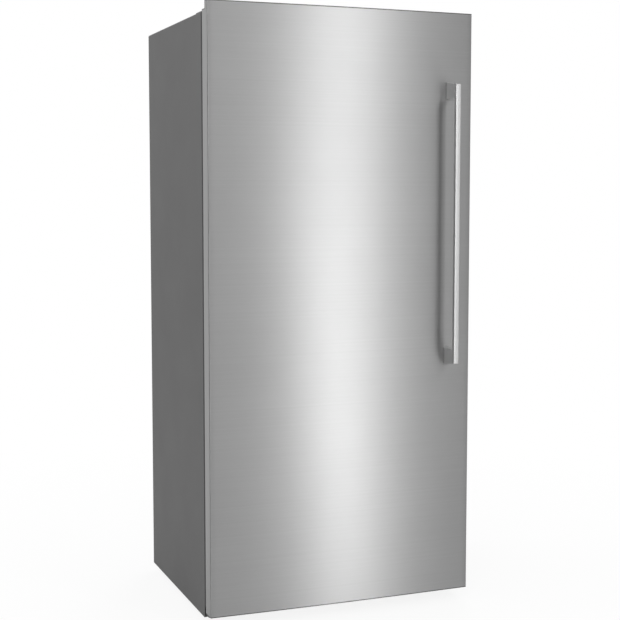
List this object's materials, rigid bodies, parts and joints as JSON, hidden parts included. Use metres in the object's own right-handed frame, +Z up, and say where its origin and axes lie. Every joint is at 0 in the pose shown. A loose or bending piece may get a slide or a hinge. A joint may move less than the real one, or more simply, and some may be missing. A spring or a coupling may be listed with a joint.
{
  "type": "upright freezer",
  "caption": "Upright freezer with a left-hinged brushed steel door, tall bar handle, door bins, drawers, glass shelves and a finned cooling circuit at the back.",
  "frame": {"origin": "middle of the overall footprint, on the floor", "axes": "+X to the right seen from the front, +Y from the door to the back, +Z up; the door faces -Y"},
  "size_m": [0.796, 0.723, 1.725],
  "materials": {
    "case_paint": "satin grey paint",
    "zinc_sheet": "galvanised",
    "insulation": "closed-cell foam",
    "lining_white": "smooth moulded",
    "air_cover_white": "smooth moulded",
    "dark_plastic": "fine texture",
    "black_paint": "satin black",
    "louvre_paint": "satin grey paint",
    "door_steel": "fine brushed",
    "bar_steel": "satin",
    "post_steel": "satin",
    "clear_plastic": "clear moulded",
    "shelf_glass": "toughened glass",
    "white_trim": "smooth moulded",
    "coil_aluminium": "bare",
    "copper": "bare copper colour",
    "heater_steel": "bare",
    "rubber_black": "matte",
    "seal_grey": "soft, matte",
    "zinc_screw": "zinc plated",
    "lamp_clear": "frosted",
    "control_grey": "fine texture",
    "knob_grey": "satin",
    "tray_blue": "translucent moulded",
    "wheel_grey": "moulded"
  },
  "bodies": {
    "cabinet": {"cabinet_wrapper": "case_paint", "back_panel": "zinc_sheet", "cabinet_foam": "insulation", "cabinet_liner": "lining_white", "base_frame": "zinc_sheet", "machine_deck": "zinc_sheet", "compressor_plate": "zinc_sheet", "roller_axles": "zinc_screw", "plinth_grille": "dark_plastic", "machine_cover": "louvre_paint", "cord_gland": "dark_plastic", "rear_spacers": "dark_plastic", "compressor": "black_paint", "compressor_grommets": "rubber_black", "start_relay": "dark_plastic", "condenser": "black_paint", "condenser_fan_frame": "dark_plastic", "refrigerant_pipes": "copper", "drip_tray": "dark_plastic", "drain_tube": "dark_plastic", "evaporator_coil": "coil_aluminium", "defrost_heater": "heater_steel", "evaporator_cover": "air_cover_white", "evaporator_fan_frame": "dark_plastic", "control_housing": "control_grey", "lamp": "lamp_clear", "shelf_trims": "white_trim", "ice_frame": "white_trim", "top_hinge_plate": "black_paint", "bottom_hinge_bracket": "black_paint", "hinge_screws": "zinc_screw", "shelf_glass_1": "shelf_glass", "shelf_glass_2": "shelf_glass", "shelf_glass_3": "shelf_glass"},
    "door": {"door_skin": "door_steel", "door_top_cap": "dark_plastic", "door_bottom_cap": "dark_plastic", "door_foam": "insulation", "door_liner": "lining_white", "door_gasket": "seal_grey", "handle_bar": "bar_steel", "handle_posts": "post_steel", "door_bin_1": "clear_plastic", "door_bin_2": "clear_plastic", "door_bin_3": "clear_plastic", "door_bin_4": "clear_plastic"},
    "drawer_1": {"drawer_1": "clear_plastic"},
    "drawer_2": {"drawer_2": "clear_plastic"},
    "drawer_3": {"drawer_3": "clear_plastic"},
    "condenser_fan": {"condenser_fan": "dark_plastic"},
    "evaporator_fan": {"evaporator_fan": "white_trim"},
    "temperature_knob": {"temperature_knob": "knob_grey"},
    "fast_freeze_button": {"fast_freeze_button": "knob_grey"},
    "ice_tray": {"ice_tray": "tray_blue"},
    "ice_bin": {"ice_bin": "clear_plastic"},
    "foot_left": {"foot_left": "dark_plastic"},
    "foot_right": {"foot_right": "dark_plastic"},
    "roller_left": {"roller_left": "wheel_grey"},
    "roller_right": {"roller_right": "wheel_grey"}
  },
  "joints": [
    {"name": "door_hinge", "type": "hinge", "parent": "cabinet", "child": "door", "pos_m": [-0.384, -0.2665, 0.9], "axis": [0, 0, -1], "range_deg": [0, 115]},
    {"name": "drawer_1_slide", "type": "slide", "parent": "cabinet", "child": "drawer_1", "axis": [0, -1, 0], "range_m": [0, 0.03]},
    {"name": "drawer_2_slide", "type": "slide", "parent": "cabinet", "child": "drawer_2", "axis": [0, -1, 0], "range_m": [0, 0.03]},
    {"name": "drawer_3_slide", "type": "slide", "parent": "cabinet", "child": "drawer_3", "axis": [0, -1, 0], "range_m": [0, 0.03]},
    {"name": "ice_bin_slide", "type": "slide", "parent": "cabinet", "child": "ice_bin", "axis": [0, -1, 0], "range_m": [0, 0.03]},
    {"name": "ice_tray_twist", "type": "hinge", "parent": "cabinet", "child": "ice_tray", "pos_m": [-0.252, -0.11, 1.56725], "axis": [0, 1, 0], "range_deg": [0, 130], "stiffness_Nm_per_rad": 0.3, "springref_deg": -17.19},
    {"name": "evaporator_fan_spin", "type": "hinge", "parent": "cabinet", "child": "evaporator_fan", "pos_m": [0, 0.215, 0.623], "axis": [0, 1, 0], "continuous": true},
    {"name": "condenser_fan_spin", "type": "hinge", "parent": "cabinet", "child": "condenser_fan", "pos_m": [0.075, 0.229, 0.109], "axis": [1, 0, 0], "continuous": true},
    {"name": "temperature_knob_turn", "type": "hinge", "parent": "cabinet", "child": "temperature_knob", "pos_m": [0.15, -0.18, 1.6195], "axis": [0, 1, 0], "range_deg": [-135, 135]},
    {"name": "fast_freeze_press", "type": "slide", "parent": "cabinet", "child": "fast_freeze_button", "axis": [0, 1, 0], "range_m": [0, 0.0015], "stiffness_N_per_m": 800, "springref_m": -0.0015},
    {"name": "foot_left_screw", "type": "slide", "parent": "cabinet", "child": "foot_left", "axis": [0, 0, -1], "range_m": [0, 0.012]},
    {"name": "foot_right_screw", "type": "slide", "parent": "cabinet", "child": "foot_right", "axis": [0, 0, -1], "range_m": [0, 0.012]},
    {"name": "roller_left_spin", "type": "hinge", "parent": "cabinet", "child": "roller_left", "pos_m": [-0.33, 0.2945, 0.018], "axis": [1, 0, 0], "continuous": true},
    {"name": "roller_right_spin", "type": "hinge", "parent": "cabinet", "child": "roller_right", "pos_m": [0.33, 0.2945, 0.018], "axis": [1, 0, 0], "continuous": true}
  ]
}
